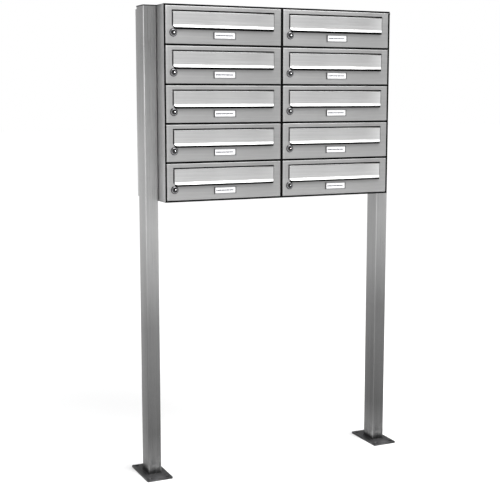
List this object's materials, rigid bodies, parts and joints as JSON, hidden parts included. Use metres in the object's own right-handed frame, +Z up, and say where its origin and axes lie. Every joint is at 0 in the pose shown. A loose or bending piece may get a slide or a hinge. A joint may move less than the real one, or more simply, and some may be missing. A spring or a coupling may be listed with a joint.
{
  "type": "cluster mailbox unit",
  "caption": "Free-standing cluster mailbox: a shallow steel cabinet of lockable letter compartments with flaps, held between two posts on base plates.",
  "frame": {"origin": "on the floor under the middle of the unit's bounding box", "axes": "+Z up, the doors face -Y, +X to the right of someone facing the doors"},
  "size_m": [0.867, 0.2547, 1.4],
  "materials": {
    "door_steel": "stainless sheet, fine horizontal grain, satin",
    "flap_steel": "stainless sheet, fine horizontal grain, satin, polished by hands along the lip",
    "cabinet_steel": "stainless sheet, satin, dark edge trim at the front",
    "post_steel": "stainless tube, fine grain along its length",
    "bright_steel": "drawn stainless rod",
    "dark_steel": "dark coated steel plate, slightly rough",
    "black_plastic": "fine texture",
    "nameplate_frame": "dark grey moulded frame around a pale card",
    "lock_chrome": "polished chrome with a dark key slot"
  },
  "bodies": {
    "cabinet": {"base_plate_left": "dark_steel", "base_plate_right": "dark_steel", "post_left": "post_steel", "post_right": "post_steel", "post_cap_left": "black_plastic", "post_cap_right": "black_plastic", "side_panel_left": "cabinet_steel", "side_panel_right": "cabinet_steel", "top_panel": "cabinet_steel", "bottom_panel": "cabinet_steel", "back_panel": "cabinet_steel", "centre_divider": "cabinet_steel", "shelf_1": "cabinet_steel", "shelf_2": "cabinet_steel", "shelf_3": "cabinet_steel", "shelf_4": "cabinet_steel", "hinge_rod_left": "bright_steel", "hinge_rod_right": "bright_steel", "strike_bar_left": "cabinet_steel", "strike_bar_right": "cabinet_steel"},
    "door_01": {"door_01": "door_steel", "nameplate_01": "nameplate_frame"},
    "flap_01": {"flap_01": "flap_steel"},
    "lock_01": {"lock_01": "lock_chrome"},
    "door_02": {"door_02": "door_steel", "nameplate_02": "nameplate_frame"},
    "flap_02": {"flap_02": "flap_steel"},
    "lock_02": {"lock_02": "lock_chrome"},
    "door_03": {"door_03": "door_steel", "nameplate_03": "nameplate_frame"},
    "flap_03": {"flap_03": "flap_steel"},
    "lock_03": {"lock_03": "lock_chrome"},
    "door_04": {"door_04": "door_steel", "nameplate_04": "nameplate_frame"},
    "flap_04": {"flap_04": "flap_steel"},
    "lock_04": {"lock_04": "lock_chrome"},
    "door_05": {"door_05": "door_steel", "nameplate_05": "nameplate_frame"},
    "flap_05": {"flap_05": "flap_steel"},
    "lock_05": {"lock_05": "lock_chrome"},
    "door_06": {"door_06": "door_steel", "nameplate_06": "nameplate_frame"},
    "flap_06": {"flap_06": "flap_steel"},
    "lock_06": {"lock_06": "lock_chrome"},
    "door_07": {"door_07": "door_steel", "nameplate_07": "nameplate_frame"},
    "flap_07": {"flap_07": "flap_steel"},
    "lock_07": {"lock_07": "lock_chrome"},
    "door_08": {"door_08": "door_steel", "nameplate_08": "nameplate_frame"},
    "flap_08": {"flap_08": "flap_steel"},
    "lock_08": {"lock_08": "lock_chrome"},
    "door_09": {"door_09": "door_steel", "nameplate_09": "nameplate_frame"},
    "flap_09": {"flap_09": "flap_steel"},
    "lock_09": {"lock_09": "lock_chrome"},
    "door_10": {"door_10": "door_steel", "nameplate_10": "nameplate_frame"},
    "flap_10": {"flap_10": "flap_steel"},
    "lock_10": {"lock_10": "lock_chrome"}
  },
  "joints": [
    {"name": "door_hinge_01", "type": "hinge", "parent": "cabinet", "child": "door_01", "pos_m": [-0.0116, -0.11365, 1.342], "axis": [0, 0, 1], "range_deg": [0, 100]},
    {"name": "flap_hinge_01", "type": "hinge", "parent": "door_01", "child": "flap_01", "pos_m": [-0.1861, -0.11565, 1.378], "axis": [-1, 0, 0], "range_deg": [0, 80]},
    {"name": "lock_turn_01", "type": "hinge", "parent": "door_01", "child": "lock_01", "pos_m": [-0.3451, -0.11765, 1.32], "axis": [0, 1, 0], "range_deg": [0, 90]},
    {"name": "door_hinge_02", "type": "hinge", "parent": "cabinet", "child": "door_02", "pos_m": [0.3606, -0.11365, 1.342], "axis": [0, 0, 1], "range_deg": [0, 100]},
    {"name": "flap_hinge_02", "type": "hinge", "parent": "door_02", "child": "flap_02", "pos_m": [0.1861, -0.11565, 1.378], "axis": [-1, 0, 0], "range_deg": [0, 80]},
    {"name": "lock_turn_02", "type": "hinge", "parent": "door_02", "child": "lock_02", "pos_m": [0.0271, -0.11765, 1.32], "axis": [0, 1, 0], "range_deg": [0, 90]},
    {"name": "door_hinge_03", "type": "hinge", "parent": "cabinet", "child": "door_03", "pos_m": [-0.0116, -0.11365, 1.23], "axis": [0, 0, 1], "range_deg": [0, 100]},
    {"name": "flap_hinge_03", "type": "hinge", "parent": "door_03", "child": "flap_03", "pos_m": [-0.1861, -0.11565, 1.266], "axis": [-1, 0, 0], "range_deg": [0, 80]},
    {"name": "lock_turn_03", "type": "hinge", "parent": "door_03", "child": "lock_03", "pos_m": [-0.3451, -0.11765, 1.208], "axis": [0, 1, 0], "range_deg": [0, 90]},
    {"name": "door_hinge_04", "type": "hinge", "parent": "cabinet", "child": "door_04", "pos_m": [0.3606, -0.11365, 1.23], "axis": [0, 0, 1], "range_deg": [0, 100]},
    {"name": "flap_hinge_04", "type": "hinge", "parent": "door_04", "child": "flap_04", "pos_m": [0.1861, -0.11565, 1.266], "axis": [-1, 0, 0], "range_deg": [0, 80]},
    {"name": "lock_turn_04", "type": "hinge", "parent": "door_04", "child": "lock_04", "pos_m": [0.0271, -0.11765, 1.208], "axis": [0, 1, 0], "range_deg": [0, 90]},
    {"name": "door_hinge_05", "type": "hinge", "parent": "cabinet", "child": "door_05", "pos_m": [-0.0116, -0.11365, 1.118], "axis": [0, 0, 1], "range_deg": [0, 100]},
    {"name": "flap_hinge_05", "type": "hinge", "parent": "door_05", "child": "flap_05", "pos_m": [-0.1861, -0.11565, 1.154], "axis": [-1, 0, 0], "range_deg": [0, 80]},
    {"name": "lock_turn_05", "type": "hinge", "parent": "door_05", "child": "lock_05", "pos_m": [-0.3451, -0.11765, 1.096], "axis": [0, 1, 0], "range_deg": [0, 90]},
    {"name": "door_hinge_06", "type": "hinge", "parent": "cabinet", "child": "door_06", "pos_m": [0.3606, -0.11365, 1.118], "axis": [0, 0, 1], "range_deg": [0, 100]},
    {"name": "flap_hinge_06", "type": "hinge", "parent": "door_06", "child": "flap_06", "pos_m": [0.1861, -0.11565, 1.154], "axis": [-1, 0, 0], "range_deg": [0, 80]},
    {"name": "lock_turn_06", "type": "hinge", "parent": "door_06", "child": "lock_06", "pos_m": [0.0271, -0.11765, 1.096], "axis": [0, 1, 0], "range_deg": [0, 90]},
    {"name": "door_hinge_07", "type": "hinge", "parent": "cabinet", "child": "door_07", "pos_m": [-0.0116, -0.11365, 1.006], "axis": [0, 0, 1], "range_deg": [0, 100]},
    {"name": "flap_hinge_07", "type": "hinge", "parent": "door_07", "child": "flap_07", "pos_m": [-0.1861, -0.11565, 1.042], "axis": [-1, 0, 0], "range_deg": [0, 80]},
    {"name": "lock_turn_07", "type": "hinge", "parent": "door_07", "child": "lock_07", "pos_m": [-0.3451, -0.11765, 0.984], "axis": [0, 1, 0], "range_deg": [0, 90]},
    {"name": "door_hinge_08", "type": "hinge", "parent": "cabinet", "child": "door_08", "pos_m": [0.3606, -0.11365, 1.006], "axis": [0, 0, 1], "range_deg": [0, 100]},
    {"name": "flap_hinge_08", "type": "hinge", "parent": "door_08", "child": "flap_08", "pos_m": [0.1861, -0.11565, 1.042], "axis": [-1, 0, 0], "range_deg": [0, 80]},
    {"name": "lock_turn_08", "type": "hinge", "parent": "door_08", "child": "lock_08", "pos_m": [0.0271, -0.11765, 0.984], "axis": [0, 1, 0], "range_deg": [0, 90]},
    {"name": "door_hinge_09", "type": "hinge", "parent": "cabinet", "child": "door_09", "pos_m": [-0.0116, -0.11365, 0.894], "axis": [0, 0, 1], "range_deg": [0, 100]},
    {"name": "flap_hinge_09", "type": "hinge", "parent": "door_09", "child": "flap_09", "pos_m": [-0.1861, -0.11565, 0.93], "axis": [-1, 0, 0], "range_deg": [0, 80]},
    {"name": "lock_turn_09", "type": "hinge", "parent": "door_09", "child": "lock_09", "pos_m": [-0.3451, -0.11765, 0.872], "axis": [0, 1, 0], "range_deg": [0, 90]},
    {"name": "door_hinge_10", "type": "hinge", "parent": "cabinet", "child": "door_10", "pos_m": [0.3606, -0.11365, 0.894], "axis": [0, 0, 1], "range_deg": [0, 100]},
    {"name": "flap_hinge_10", "type": "hinge", "parent": "door_10", "child": "flap_10", "pos_m": [0.1861, -0.11565, 0.93], "axis": [-1, 0, 0], "range_deg": [0, 80]},
    {"name": "lock_turn_10", "type": "hinge", "parent": "door_10", "child": "lock_10", "pos_m": [0.0271, -0.11765, 0.872], "axis": [0, 1, 0], "range_deg": [0, 90]}
  ]
}
